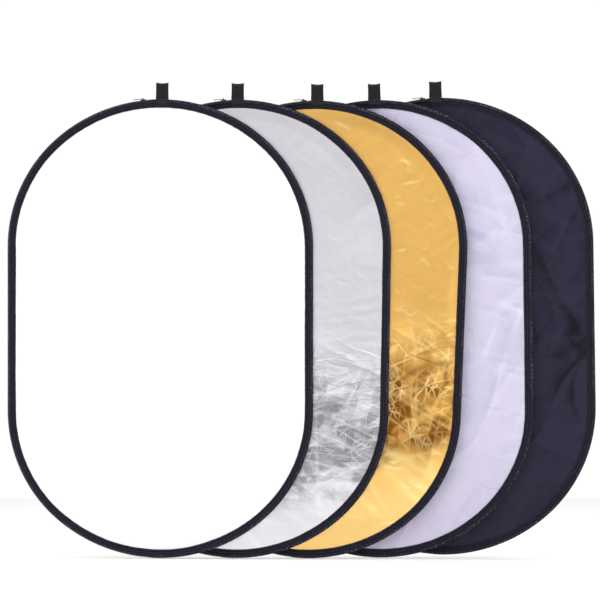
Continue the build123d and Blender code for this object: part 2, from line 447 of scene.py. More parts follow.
# each layer of facets: its turn in degrees, the facets' length and width, its place, and how steep they are
GOLD_FACETS = ((-38, 0.13, 0.030, 0.3, 0.12), (22, 0.10, 0.025, 1.7, 0.11), (82, 0.07, 0.017, 3.1, 0.09))
SILVER_FACETS = ((6, 0.11, 0.020, 0.9, 0.10), (-24, 0.08, 0.018, 2.3, 0.10), (68, 0.04, 0.014, 4.2, 0.07))
PACKING_FACETS = ((62, 0.30, 0.075, 0.4), (-28, 0.17, 0.05, 2.2))


def foil_material(name, colour, painted_shade_colour, pale, pattern, shine, roughness=0.3):
    """Metal film on cloth: satin and smooth, crumpled into facets where it is worked most, with painted highlights
    on their edges and painted shade on the facets.
    """
    material, tree, shader = blank_material(name)
    source = coordinates(tree, True)
    zone = attribute_value(tree, "zone")
    cloud = noise_node(tree, source, 9.0, 5.0, 0.6, 0.3)
    even = ramp_node(tree, cloud.outputs["Fac"], [(0.3, tint(colour, 0.96)), (0.7, tint(colour, 1.03))])
    patch = noise_node(tree, source, 15.0, 3.0, 0.55, 0.9)
    # painted shade: the stored painted shade plus cloudy dark patches
    lines, shade, last = 0.0, attribute_value(tree, "shade"), None
    shade = math_node(tree, "ADD", shade, range_node(tree, patch.outputs["Fac"], 0.42, 0.62, 0.0, 0.6))
    for turn, long, wide, place, steep in pattern:
        line, own, height = facets(tree, source, turn, long, wide, place)
        lines = math_node(tree, "MAXIMUM", lines, line)
        # each facet's painted shade
        shade = math_node(tree, "ADD", shade, range_node(tree, own, 0.2, 1.0, 0.0, 0.36))
        height = math_node(tree, "MULTIPLY", height, zone)
        last = add_bump(tree, shader, height, 1.0, steep * wide, last)
    shade = math_node(tree, "MULTIPLY", shade, attribute_value(tree, "painted_shade_amount"))
    # painted highlights: facet edges where the film is worked, with the stored painted highlights and foot
    # reflection
    lines = math_node(tree, "MULTIPLY", math_node(tree, "MULTIPLY", lines, zone), shine)
    lines = math_node(tree, "MAXIMUM", lines, attribute_value(tree, "fold"))
    # painted shade mixes the colour toward a darker one, painted highlights toward a paler one
    shaded = mix_colour(tree, shade, even.outputs["Color"], painted_shade_colour)
    tree.links.new(mix_colour(tree, lines, shaded, pale), shader.inputs["Base Color"])
    tree.links.new(range_node(tree, zone, 0.0, 1.0, roughness, roughness * 1.15), shader.inputs["Roughness"])
    shader.inputs["Metallic"].default_value = 1.0
    ripple = noise_node(tree, source, 26.0, 3.0, 0.5, 0.6)
    last = add_bump(tree, shader, ripple.outputs["Fac"], 0.2, 0.004, last)
    grain = noise_node(tree, source, 420.0, 3.0, 0.6)
    last = add_bump(tree, shader, grain.outputs["Fac"], 0.3, 0.0005, last)
    weave = weave_height(tree, 0.9 * MM, source)
    add_bump(tree, shader, weave, 0.15, 0.0002, last)
    return material


def folded_material(name, colour, painted_shade_colour, pale, roughness, level, pitch, tilt, shine):
    """Thin woven nylon with a crease pattern left by packing: faint facets, with painted shade on them and painted
    highlights on some of their edges.
    """
    material, tree, shader = blank_material(name)
    source = coordinates(tree, True)
    # painted shade: the stored painted shade plus each facet's painted shade
    lines, shade, last = 0.0, attribute_value(tree, "shade"), None
    for turn, long, wide, place in PACKING_FACETS:
        line, own, height = facets(tree, source, turn, long, wide, place)
        lines = math_node(tree, "MAXIMUM", lines, line)
        shade = math_node(tree, "ADD", shade, range_node(tree, own, 0.2, 1.0, 0.0, 0.35))
        last = add_bump(tree, shader, height, 1.0, tilt * wide, last)
    cloud = noise_node(tree, source, 11.0, 4.0, 0.55)
    shade = math_node(tree, "MULTIPLY", shade, range_node(tree, cloud.outputs["Fac"], 0.35, 0.65, 0.3, 1.0))
    # painted shade mixes the colour toward a darker one
    shaded = mix_colour(tree, shade, mix_colour(tree, cloud.outputs["Fac"], colour, tint(colour, 1.02)), painted_shade_colour)
    # painted highlights on some facet edges and along the stored crease highlights, mixed toward a paler colour
    lines = math_node(tree, "MAXIMUM", math_node(tree, "MULTIPLY", lines, shine), attribute_value(tree, "fold"))
    tree.links.new(mix_colour(tree, lines, shaded, pale), shader.inputs["Base Color"])
    shader.inputs["Roughness"].default_value = roughness
    shader.inputs["Specular IOR Level"].default_value = level
    weave = weave_height(tree, pitch, source)
    add_bump(tree, shader, weave, 0.25, pitch * THREAD_STANDS, last)
    return material


def edge_tape_material(name, colour, sheen_colour, pitch):
    """Folded edge tape: a plain weave, with a painted sheen in pale flecks along its bead."""
    material, tree, shader = blank_material(name)
    source = coordinates(tree, True)
    cloud = noise_node(tree, source, 60.0, 4.0, 0.6)
    even = ramp_node(tree, cloud.outputs["Fac"], [(0.3, tint(colour, 0.8)), (0.7, tint(colour, 1.2))])
    split = tree.nodes.new("ShaderNodeSeparateXYZ")
    tree.links.new(source, split.inputs["Vector"])
    on_bead = range_node(tree, split.outputs["Y"], 6 * MM, 11 * MM, 1.0, 0.0)
    flecks = noise_node(tree, source, 300.0, 2.0, 0.6)
    fleck = range_node(tree, flecks.outputs["Fac"], 0.48, 0.66, 0.0, 1.0)
    stretches = noise_node(tree, source, 13.0, 2.0, 0.5)
    sheen_reach = range_node(tree, stretches.outputs["Fac"], 0.4, 0.6, 0.25, 1.0)
    # painted sheen: pale flecks on the bead, in stretches
    wear = math_node(tree, "MULTIPLY", math_node(tree, "MULTIPLY", on_bead, fleck), sheen_reach)
    tree.links.new(mix_colour(tree, wear, even.outputs["Color"], sheen_colour), shader.inputs["Base Color"])
    nylon_finish(shader, 0.75, 0.08)
    weave = weave_height(tree, pitch, source)
    add_bump(tree, shader, weave, 0.6, pitch * THREAD_STANDS)
    return material


def metal_material(name, colour, roughness, metallic=1.0, coat=0.0, scratch=0.4):
    """Metal or enamel: fine scratches and slight wear in its shine."""
    material, tree, shader = blank_material(name)
    source = coordinates(tree)
    wear = noise_node(tree, source, 260.0, 6.0, 0.7)
    shade = ramp_node(tree, wear.outputs["Fac"], [(0.35, tint(colour, 0.8)), (0.65, tint(colour, 1.15))])
    link(tree, shade, "Color", shader, "Base Color")
    rough = tree.nodes.new("ShaderNodeMapRange")
    rough.inputs["To Min"].default_value = roughness * 0.75
    rough.inputs["To Max"].default_value = roughness * 1.3
    link(tree, wear, "Fac", rough, "Value")
    link(tree, rough, "Result", shader, "Roughness")
    shader.inputs["Metallic"].default_value = metallic
    shader.inputs["Coat Weight"].default_value = coat
    grain = noise_node(tree, source, 900.0, 4.0, 0.6)
    add_bump(tree, shader, grain.outputs["Fac"], scratch, 0.0001)
    return material


MATERIALS = {
    "white_cloth": cloth_material("white_nylon", (0.9, 0.9, 0.91), 1.1 * MM, 0.62, sheen=0.1, bump=0.25,
                                  spread=0.01),
    # the foil and folded cloths' darker and paler colours are painted shade and painted highlight
    "silver_cloth": foil_material("silver_foil_cloth", colour=(0.74, 0.72, 0.77), painted_shade_colour=(0.3, 0.295, 0.31),
                                  pale=(0.88, 0.88, 0.9), pattern=SILVER_FACETS, shine=0.4),
    "gold_cloth": foil_material("gold_foil_cloth", colour=(0.88, 0.52, 0.145), painted_shade_colour=(0.24, 0.085, 0.009),
                                pale=(1.0, 0.76, 0.32), pattern=GOLD_FACETS, shine=0.68),
    "diffuser_cloth": folded_material("diffusion_nylon", colour=(0.62, 0.58, 0.73), painted_shade_colour=(0.46, 0.43, 0.59),
                                      pale=(0.76, 0.74, 0.87), roughness=0.5, level=0.3, pitch=0.9 * MM,
                                      tilt=0.09, shine=0.04),
    "black_cloth": folded_material("black_satin", colour=(0.021, 0.018, 0.041), painted_shade_colour=(0.003, 0.0025, 0.008),
                                   pale=(0.027, 0.025, 0.05), roughness=0.36, level=0.16, pitch=0.9 * MM,
                                   tilt=0.1, shine=0.04),
    # the edge tape's second, paler colour is a painted sheen
    "edge_tape": edge_tape_material("edge_tape_weave", colour=(0.0062, 0.0053, 0.0130), sheen_colour=(0.12, 0.113, 0.15),
                                    pitch=1.2 * MM),
    "webbing": cloth_material("webbing_weave", (0.0108, 0.0102, 0.0138), 2.2 * MM, 0.75, sheen=0.08, bump=0.9,
                              spread=0.15, blotch=90.0),
    "zip_fabric": cloth_material("zip_tape_weave", (0.022, 0.02, 0.03), 1.0 * MM, 0.75, sheen=0.3, bump=0.5,
                                 spread=0.15, blotch=90.0, uv=False),
    "zip_coil": metal_material("zip_coil_nylon", (0.042, 0.039, 0.056), 0.38, metallic=0.0, coat=0.2,
                               scratch=0.15),
    "zip_metal": metal_material("black_enamelled_zinc", (0.022, 0.022, 0.026), 0.32, metallic=0.6, coat=0.4,
                                scratch=0.25),
    "spring_steel": metal_material("blued_spring_steel", (0.42, 0.44, 0.5), 0.3),
    "ferrule_steel": metal_material("zinc_plated_sleeve", (0.62, 0.62, 0.64), 0.35),
    "thread": cloth_material("stitching_thread", (0.04, 0.037, 0.062), 0.5 * MM, 0.55, sheen=0.3, bump=0.4,
                             spread=0.15, blotch=200.0, uv=False),
}


# ---- the cloths --------------------------------------------------------------------------------------
CLOTH_EDGE = 9.6 * MM       # where a visible cloth stops, inside the rim
CLOTH_REST = 0.45 * MM      # from the panel's middle plane to a flat cloth of a double cover
CLOTH_BULGE = 1.5 * MM
TALLEST_FOLD = 3.6 * MM
FOLD_FADE = 26 * MM
POLE_SHARE = 0.985
ROW_EVENNESS = 0.65


def cloth_grid(columns, rows):
    """A grid that fills the oval, closer toward its ends: each vertex's X, Z and inset from the outline."""
    top = HALF_H - CLOTH_EDGE
    z = top * np.sin(np.linspace(-pi / 2, pi / 2, rows) * POLE_SHARE) / sin(pi / 2 * POLE_SHARE)
    z = (1 - ROW_EVENNESS) * z + ROW_EVENNESS * np.linspace(-top, top, rows)
    wide = np.maximum(half_width_at(z, CLOTH_EDGE), 0.2 * MM)
    u = np.linspace(-1, 1, columns)
    x = wide[:, None] * u[None, :]
    z = np.repeat(z[:, None], columns, axis=1)
    crown = np.hypot(x, np.abs(z) - CROWN_Z) - CROWN_R
    shoulder = np.hypot(np.abs(x) - (HALF_W - SHOULDER_R), np.abs(z) - SIDE_Z) - SHOULDER_R
    side = np.abs(x) - HALF_W
    on_crown = np.arctan2(np.abs(x), np.abs(z) - CROWN_Z) < CROWN_HALF_ANGLE
    depth = -np.where((np.abs(z) > CROWN_Z) & on_crown, crown, np.where(np.abs(z) > SIDE_Z, shoulder, side))
    return x, z, depth


class Relief:
    """What crumpling does to a cloth: its height, a painted highlight along each crease, and painted shade on one
    side of each.
    """

    def __init__(self, x, z, seed):
        self.x, self.z = x, z
        self.rng = np.random.default_rng(seed)
        self.height, self.fold, self.shade = (np.zeros_like(x) for _ in range(3))
        self.zone, self.painted_shade_amount = np.ones_like(x), np.ones_like(x)

    def creases(self, count, where, long, wide, slope, line=0.0, painted_shade_amount=0.0, thin=2.2 * MM, lean=None, bow=0.0):
        """Folds that fade at their ends. where is the zone's lowest and highest X, then Z; lean is in degrees."""
        rng = self.rng
        for _ in range(count):
            cx, cz = rng.uniform(where[0], where[1]), rng.uniform(where[2], where[3])
            angle = rng.uniform(0, pi) if lean is None else radians(rng.choice(lean) + rng.normal(0, 8))
            reach = long * rng.uniform(0.5, 1.5)
            width = wide * rng.uniform(0.5, 1.6)
            steep = slope * rng.uniform(0.4, 1.3)
            up = rng.choice([-1, 1], p=[0.3, 0.7])
            bend = bow * rng.normal()
            bright = line * rng.uniform(0.35, 1.0)
            near = np.hypot(self.x - cx, self.z - cz) < 1.5 * reach + 4 * width
            dx, dz = self.x[near] - cx, self.z[near] - cz
            t = (dx * cos(angle) + dz * sin(angle)) / reach
            d = -dx * sin(angle) + dz * cos(angle) - bend * reach * t * t
            ends = np.exp(-(t**4))
            self.height[near] += up * steep * width * ends * np.exp(-np.abs(d) / width)
            # painted highlight along the crease's ridge, as bright as line asks
            self.fold[near] += bright * ends * np.exp(-((d / thin) ** 2))
            one_side = np.exp(-np.abs(d) / width) * np.tanh(d / (1.5 * MM))
            # painted shade on one side of the crease, now and then painted light instead, as its slope would shade
            # it
            self.shade[near] += painted_shade_amount * rng.uniform(-0.6, 1) * ends * one_side


ALL_OVER = (-HALF_W, HALF_W, -HALF_H, HALF_H)
WORKED_SIDE = 0.2
MARK_LEANS = (-30, -10, 10, 150)
RIGHT_SIDE = (0.7 * HALF_W, HALF_W, -0.25, 0.3)


def foil_relief(top, foot, rise, leans, marks, painted_foot_reflection, painted_shade_amount):
    """Metal film: smooth above, sharp folds between two heights, and drag lines at its foot, all with painted
    highlights and painted shade.

    The band's edges rise and fall by rise. The last two arguments say how much paler the cloth is painted under
    the band, as a painted reflection, and how much painted shade darkens it in the band.
    """
    worked = (-HALF_W, HALF_W, foot + 0.05, top)
    below = (-HALF_W, HALF_W, foot - 0.06, foot + 0.06)

    def relief(x, z, seed):
        r = Relief(x, z, seed)
        r.creases(12, ALL_OVER, 0.22, 0.09, 0.020)
        r.creases(18, worked, 0.14, 0.05, 0.05, painted_shade_amount=0.3, lean=leans)
        r.creases(40, worked, 0.08, 0.014, 0.09, line=0.45, painted_shade_amount=0.3, thin=2.4 * MM, lean=leans, bow=0.06)
        r.creases(marks, ALL_OVER, 0.012, 0.006, 0.06, line=0.8, painted_shade_amount=0.1, lean=MARK_LEANS, bow=0.3)
        r.creases(14, below, 0.11, 0.02, 0.05, line=0.4, painted_shade_amount=0.1, thin=7 * MM, lean=(142, 150), bow=0.05)
        edge = z - rise * np.sin((x - WORKED_SIDE) / 0.12)
        patchy = 0.45 + 0.55 * smoothstep((x + 0.16) / 0.22)
        r.zone = 0.06 + 0.94 * patchy * smoothstep((edge - foot) / 0.09) * smoothstep((top - edge) / 0.10)
        # painted shade through the worked band, as crumpled film mirroring darker surroundings
        r.painted_shade_amount = painted_shade_amount * patchy * smoothstep((edge - foot) / 0.07) * smoothstep((top - 0.03 - edge) / 0.13)
        # painted reflection: the cloth under the band painted paler, as if mirroring bright light
        r.fold = np.clip(r.fold + painted_foot_reflection * smoothstep((foot + 0.05 - edge) / 0.12), 0, 1)
        return r

    return relief


GOLD_LEANS = (20, 75, 100, 140, 150)
SILVER_LEANS = (0, 12, 85, 156, 168)
gold_relief = foil_relief(0.04, -0.27, 0.045, GOLD_LEANS, marks=190, painted_foot_reflection=0.4, painted_shade_amount=1.0)
silver_relief = foil_relief(0.0, -0.36, 0.015, SILVER_LEANS, marks=50, painted_foot_reflection=0.3, painted_shade_amount=1.0)
gold_back_relief = foil_relief(0.20, -0.30, 0.08, GOLD_LEANS, marks=190, painted_foot_reflection=0.2, painted_shade_amount=0.5)
silver_back_relief = foil_relief(0.16, -0.34, 0.07, SILVER_LEANS, marks=90, painted_foot_reflection=0.2, painted_shade_amount=0.5)


def soft_relief(x, z, seed, amount=1.0):
    """Slack woven cloth: a few broad folds, drag lines, and short pleats run in from the right side, with painted
    shade and painted highlights along them.
    """
    r = Relief(x, z, seed)
    r.creases(14, ALL_OVER, 0.25, 0.09, 0.03 * amount, painted_shade_amount=0.4)
    r.creases(24, ALL_OVER, 0.11, 0.03, 0.07 * amount, line=0.2, painted_shade_amount=0.8, thin=9 * MM, lean=(30, 60, 120, 150))
    r.creases(22, RIGHT_SIDE, 0.04, 0.010, 0.12 * amount, line=0.4, painted_shade_amount=0.9, thin=5 * MM,
              lean=(-25, -10, 15, 60))
    return r


def satin_relief(x, z, seed):
    """Satin: as the other woven cloths, with a few drag lines near its right side painted dark as shade."""
    r = soft_relief(x, z, seed)
    # painted shade: dark streaks beside these creases
    r.creases(16, RIGHT_SIDE, 0.06, 0.010, 0.10, painted_shade_amount=3.0, lean=(55, 75, 105, 120), bow=0.2)
    return r


PUCKER_ROUND = 0.4
PUCKER_PITCH = 11 * MM
PUCKER_REACH = 45 * MM


def puckers(x, z, depth, seed, amount):
    """Short gathers that run in from the stitched rim."""
    around = np.arctan2(z, x * HALF_H / HALF_W) * PUCKER_ROUND
    wave = smooth_noise(around + pi * PUCKER_ROUND, 2 * pi * PUCKER_ROUND, PUCKER_PITCH, seed)
    fade = np.exp(-np.clip(depth - RIM_DEPTH, 0, None) / PUCKER_REACH) * smoothstep((depth - RIM_DEPTH) / (4 * MM))
    return amount * wave * fade


def make_cloth(name, node, slot, side, columns, rows, relief, pucker):
    """One cloth of a panel: side is -1 for the front, 1 for the back. A double cover's bulge a little outward."""
    x, z, depth = cloth_grid(columns, rows)
    seed = 11 + 7 * PANELS.index(name) + (side > 0)
    made = relief(x, z, seed)
    height = made.height - np.median(made.height)
    height = CLOTH_BULGE * np.tanh(height / CLOTH_BULGE) + CLOTH_BULGE
    height += puckers(x, z, depth, seed, pucker)
    off_rim = smoothstep((depth - RIM_DEPTH + 2 * MM) / FOLD_FADE)
    height = np.clip(height, 0.05 * MM, TALLEST_FOLD) * off_rim
    rest = CLOTH_REST
    if name not in ZIPPED:
        rest = 0.0
        height -= CLOTH_BULGE * off_rim
    y = side * (rest + height)
    local = np.c_[x.ravel(), y.ravel(), z.ravel()]
    faces = ring_faces(rows, columns, False, False)
    if side > 0:
        faces = faces[:, ::-1]
    piece = new_piece(f"{name}_{node}_fabric", to_row(name, local), faces, f"{name}_panel", slot,
                      MATERIALS[slot], uv=np.c_[x.ravel(), z.ravel()])
    # painted highlight and painted shade amounts, stored on the cloth for its material
    for attribute in ("fold", "shade", "zone", "painted_shade_amount"):
        values = np.clip(getattr(made, attribute), 0, 1).ravel().astype(np.float32)
        piece.data.attributes.new(attribute, "FLOAT", "POINT").data.foreach_set("value", values)
    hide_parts(f"{name}_{node}")


FINE, MIDDLING, COARSE = (240, 360), (150, 220), (100, 146)


def slack(amount):
    """The soft relief with its folds made lower or higher."""
    return lambda x, z, seed: soft_relief(x, z, seed, amount)


make_cloth("white", "front_cloth", "white_cloth", -1, *COARSE, slack(0.5), 0.2 * MM)
make_cloth("silver", "front_cloth", "silver_cloth", -1, *FINE, silver_relief, 0.3 * MM)
make_cloth("gold", "front_cloth", "gold_cloth", -1, *FINE, gold_relief, 0.3 * MM)
make_cloth("black", "front_cloth", "black_cloth", -1, *COARSE, satin_relief, 0.3 * MM)
make_cloth("white", "back_cloth", "gold_cloth", 1, *FINE, gold_back_relief, 0.3 * MM)
make_cloth("silver", "back_cloth", "black_cloth", 1, *COARSE, satin_relief, 0.3 * MM)
make_cloth("gold", "back_cloth", "white_cloth", 1, *COARSE, slack(0.6), 0.2 * MM)
make_cloth("black", "back_cloth", "silver_cloth", 1, *FINE, silver_back_relief, 0.3 * MM)
make_cloth("diffuser", "cloth", "diffuser_cloth", -1, *MIDDLING, slack(1.3), 0.8 * MM)


# ---- the rim -----------------------------------------------------------------------------------------
LIP_INSET = 2.0 * MM        # where the zip's groove opens, and its floor, from the outline
GROOVE_FLOOR = 3.3 * MM
ZIP_FROM = 18.5 * MM        # where the groove and the teeth start, left of the middle
TEETH_FROM = 24.1 * MM
GATHER_PITCH = 8.1 * MM
STITCH_ROWS = ((9.9, 2.02, 3.6), (14.9, 1.95, 3.6), (5.0, 4.72, 4.4))    # inset, height and pitch, in mm
STITCH_SLANT = 0.18
CLEAR_OF_LOOP = 13 * MM


def rim_profile(lip, floor):
    """The edge tape's section from its outer edge, front then back, as (inset, depth), for a lip and a floor."""
    half = [
        (floor, 0.0),
        (floor, 3.3 * MM),
        (max(floor - 0.5 * MM, lip + 0.3 * MM) if lip > MM else 0.02 * MM, 3.55 * MM),
        (lip + 0.12 * MM, 3.8 * MM),
        (lip + 0.3 * MM, 4.25 * MM),
        (lip + 0.95 * MM, 4.55 * MM),
        (3.9 * MM, 4.75 * MM),
        (5.6 * MM, 4.7 * MM),
        (7.0 * MM, 4.35 * MM),
        (7.9 * MM, 3.3 * MM),
        (8.5 * MM, 2.2 * MM),
        (9.4 * MM, 1.95 * MM),
        (11.0 * MM, 2.1 * MM),
        (RIM_DEPTH - 2.2 * MM, 2.0 * MM),
        (RIM_DEPTH - 0.6 * MM, 1.8 * MM),
        (RIM_DEPTH, 1.35 * MM),
        (RIM_DEPTH + 0.15 * MM, 0.7 * MM),
    ]
    front = [(o, -y) for o, y in half]
    back = half[:0:-1]
    return np.array(front + back)


def make_rim(name):
    """The folded, stitched edge tape all round one panel, with its slight gathers."""
    points, normals, s = stations(3.2 * MM, 7 * MM)
    length = s[-1] + s[1]
    seed = 101 + PANELS.index(name)
    plain = rim_profile(0.0, 0.0)
    zipped = rim_profile(LIP_INSET, GROOVE_FLOOR)
    mix = np.zeros(len(s))
    if name in ZIPPED:
        mix = smoothstep((s - ZIP_FROM) / (4 * MM)) * smoothstep((length / 2 - ZIP_FROM - s) / (4 * MM))
    profile = plain[None] * (1 - mix[:, None, None]) + zipped[None] * mix[:, None, None]
    gather = 0.16 * MM * smooth_noise(s, length, 6 * MM, seed) + 0.12 * MM * np.sin(s * 2 * pi / GATHER_PITCH)
    sway = 0.35 * MM * smooth_noise(s, length, 70 * MM, seed + 50)
    inset, y = profile[..., 0].copy(), profile[..., 1].copy()
    on_bead = (inset < 8 * MM) & (inset > 0.8 * MM) & (np.abs(y) > 3.9 * MM)
    on_flange = (inset > 9 * MM) * (np.abs(y) > MM)
    y += np.sign(y) * np.where(on_bead, gather[:, None], 0.5 * gather[:, None] * on_flange)
    inset += np.where(inset > 12 * MM, (sway + 1.4 * gather)[:, None], 0)
    local = swept(points, normals, inset, y)
    rows, columns = inset.shape
    around = np.r_[0, np.cumsum(np.linalg.norm(np.diff(plain, axis=0), axis=1))]
    around = np.minimum(around, around[-1] - around)
    uv = np.stack(np.broadcast_arrays(s[:, None], around[None, :]), axis=-1).reshape(-1, 2)
    piece = new_piece(f"{name}_edge_tape", to_row(name, local.reshape(-1, 3)), ring_faces(rows, columns),
                      f"{name}_panel", "edge_tape", MATERIALS["edge_tape"], uv=uv)
    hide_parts(f"{name}_rim_binding")


def make_rim_stitching(name):
    """Lock stitches round the flange and the bead, front and back."""
    bars = []
    for inset, high, pitch in STITCH_ROWS:
        points, normals, s = stations(pitch * MM, inset * MM)
        length = s[-1] + s[1]
        from_loop = s + radians(LOOP_TURN[name]) * CROWN_R
        keep = np.abs((from_loop + length / 2) % length - length / 2) > CLEAR_OF_LOOP
        points, normals = points[keep], normals[keep]
        wobble = 0.12 * MM * smooth_noise(s, length, 9 * MM, 5 + int(inset))[keep]
        base = points - (inset * MM + wobble)[:, None] * normals
        along, out = upright(np.c_[-normals[:, 1], normals[:, 0]]), upright(normals)
        for side in (-1, 1):
            centre = upright(base, side * (high * MM + 0.02 * MM))
            tilt = STITCH_SLANT * side
            run = along * cos(tilt) + out * sin(tilt)
            cross = out * cos(tilt) - along * sin(tilt)
            up = np.tile([0.0, side, 0.0], (len(base), 1))
            bars.append(rounded_bars(to_row(name, centre), turned(name, run), turned(name, cross), up,
                                     1.5 * MM, 0.32 * MM, 0.26 * MM))
    new_piece(f"{name}_rim_stitching", *joined(bars), f"{name}_panel", "edge_tape", MATERIALS["thread"])


# ---- the zip -----------------------------------------------------------------------------------------
TOOTH_PITCH = 2.0 * MM
TOOTH_INSET = 1.05 * MM
TOOTH_SLANT = 0.22
CORE_SECTION = ((1.5, -1.7), (1.15, 0.0), (1.5, 1.7), (2.3, 1.8), (2.35, 0.0), (2.3, -1.8))


def make_zip_teeth(name):
    """The coil's teeth: a raised bar across the chain for each, over a core that joins them."""
    points, normals, _ = stations(TOOTH_PITCH, 1 * MM, 0.0, 0.5)
    keep = np.abs(points[:, 0]) > TEETH_FROM
    points, normals = points[keep], normals[keep]
    count = len(points)
    centre = upright(points - TOOTH_INSET * normals)
    along = np.tile([0.0, 1.0, 0.0], (count, 1))
    across = upright(np.c_[-normals[:, 1], normals[:, 0]])
    run = along * cos(TOOTH_SLANT) + across * sin(TOOTH_SLANT)
    cross = across * cos(TOOTH_SLANT) - along * sin(TOOTH_SLANT)
    vertices, faces = rounded_bars(to_row(name, centre), turned(name, run), turned(name, cross),
                                   turned(name, upright(normals)), 2.15 * MM, 0.72 * MM, 1.0 * MM)
    section = np.array(CORE_SECTION) * MM
    core = swept(points, normals, section[None, :, 0], section[None, :, 1])
    start = len(vertices)
    vertices = np.vstack([vertices, to_row(name, core.reshape(-1, 3))])
    six = len(section)
    faces += (ring_faces(count, six, closed_rows=False) + start).tolist()
    faces += [list(range(start, start + six))[::-1], list(range(start + (count - 1) * six, start + count * six))]
    piece = new_piece(f"{name}_zip_teeth", vertices, faces, f"{name}_panel", "zip_coil", MATERIALS["zip_coil"])
    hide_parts(f"{name}_zip_chain")


# ---- the hanging loop --------------------------------------------------------------------------------
LOOP_WIDE = 25 * MM
LOOP_THICK = 1.4 * MM
LOOP_INNER_R = 4.7 * MM
PAD_Y = 1.75 * MM           # the webbing's inner face where it lies flat on the flange
SELVEDGE = ((-1, 0.35), (-0.97, 0.75), (-0.9, 0.95), (-0.75, 1), (-0.5, 1), (-0.25, 1), (0, 1),
            (0.25, 1), (0.5, 1), (0.75, 1), (0.9, 0.95), (0.97, 0.75), (1, 0.35))    # place and thickness
TOP_SAG = 1.6 * MM
LOOP_STITCH_PITCH = 2.4 * MM


def loop_path():
    """The webbing's inner face in the panel's YZ plane, front pad to back pad, with its outward normals."""
    bend = HALF_H - 8.5 * MM
    corners = [
        (PAD_Y, HALF_H - RIM_DEPTH + 0.2 * MM),
        (PAD_Y, bend - 3 * MM),
        (LOOP_INNER_R, bend + 0.4 * MM),
        (LOOP_INNER_R, ARCH_Z),
    ]
    leg = []
    for (y0, z0), (y1, z1) in zip(corners, corners[1:]):
        steps = max(3, int(np.hypot(y1 - y0, z1 - z0) / (1.2 * MM)))
        t = np.arange(steps) / steps
        leg += [(y0 + (y1 - y0) * a, z0 + (z1 - z0) * a) for a in t]
    leg = np.array(leg)
    turn = np.linspace(0, pi, 15)
    arch = np.c_[LOOP_INNER_R * np.cos(turn), ARCH_Z + LOOP_INNER_R * np.sin(turn)]
    back = leg[::-1] * [-1, 1]
    line = np.vstack([leg, arch, back])
    for _ in range(2):
        line[1:-1] = 0.25 * line[:-2] + 0.5 * line[1:-1] + 0.25 * line[2:]
    run = np.gradient(line, axis=0)
    run /= np.linalg.norm(run, axis=1)[:, None]
    return line, np.c_[run[:, 1], -run[:, 0]]


def make_loop(name):
    """The webbing loop: rounded selvedges, a sagging middle at the top, slightly bowed legs."""
    line, normal = loop_path()
    line, normal = line * [-1, 1], normal * [-1, 1]
    rng = np.random.default_rng(301 + PANELS.index(name))
    run = np.r_[0, np.cumsum(np.linalg.norm(np.diff(line, axis=0), axis=1))]
    across, edge = np.array(SELVEDGE).T
    above_rim, above_arch = line[:, 1] - HALF_H, line[:, 1] - ARCH_Z
    high = smoothstep(above_rim / (ARCH_Z - HALF_H))
    waist = 1 - 0.035 * smoothstep(above_rim / (18 * MM)) + 0.02 * smoothstep(above_arch / (5 * MM))
    shift = rng.uniform(-0.8, 0.8) * MM
    sheets = []
    for sign in (1, 0):
        x = across[None, :] * (LOOP_WIDE / 2) * waist[:, None] + shift * high[:, None]
        lift = 0.5 * LOOP_THICK * (1 + (2 * sign - 1) * edge)
        y = line[:, None, 0] + normal[:, None, 0] * lift[None, :]
        z = line[:, None, 1] + normal[:, None, 1] * lift[None, :]
        sag = (1 - across**2) * TOP_SAG
        z = z - sag[None, :] * (high**3)[:, None]
        sheets.append(np.stack([x, y, z], axis=-1))
    rows, columns = len(line), len(across)
    ring = np.concatenate([sheets[0], sheets[1][:, ::-1]], axis=1)
    faces = ring_faces(rows, 2 * columns, closed_rows=False).tolist()
    wide = 2 * columns
    faces += [list(range(wide))[::-1], list(range((rows - 1) * wide, rows * wide))]
    uv_across = np.r_[across, across[::-1]] * LOOP_WIDE / 2
    uv = np.stack(np.broadcast_arrays(run[:, None], uv_across[None, :]), axis=-1).reshape(-1, 2)
    placed = to_row(name, round_crown(name, ring.reshape(-1, 3)))
    piece = new_piece(f"{name}_webbing_loop", placed, faces, f"{name}_panel", "webbing",
                      MATERIALS["webbing"], uv=uv)
    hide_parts(f"{name}_hang_loop")


def make_loop_stitching(name):
    """A sewn box with a cross in it on each leg, over the rim's bead."""
    low, high, half = HALF_H - 6.8 * MM, HALF_H + 1.5 * MM, 10.4 * MM
    foot_left, foot_right, top_left, top_right = (-half, low), (half, low), (-half, high), (half, high)
    corners = [foot_left, foot_right, top_right, top_left, foot_left, top_right, top_left, foot_right]
    spots, runs = [], []
    for (x0, z0), (x1, z1) in zip(corners, corners[1:]):
        long = np.hypot(x1 - x0, z1 - z0)
        steps = max(2, int(round(long / LOOP_STITCH_PITCH)))
        for a in (np.arange(steps) + 0.5) / steps:
            spots.append((x0 + (x1 - x0) * a, z0 + (z1 - z0) * a))
            runs.append(((x1 - x0) / long, (z1 - z0) / long))
    spots, runs = np.array(spots), np.array(runs)
    bars = []
    for side in (-1, 1):
        centre = upright(spots, side * (LOOP_INNER_R + LOOP_THICK + 0.03 * MM))
        centre = to_row(name, round_crown(name, centre))
        along, cross = upright(runs), upright(np.c_[-runs[:, 1], runs[:, 0]])
        along, cross = (turned(name, round_crown(name, d, 0)) for d in (along, cross))
        up = np.tile([0.0, side, 0.0], (len(spots), 1))
        bars.append(rounded_bars(centre, along, cross, up, 0.95 * MM, 0.3 * MM, 0.25 * MM))
    new_piece(f"{name}_loop_stitching", *joined(bars), f"{name}_panel", "webbing", MATERIALS["thread"])


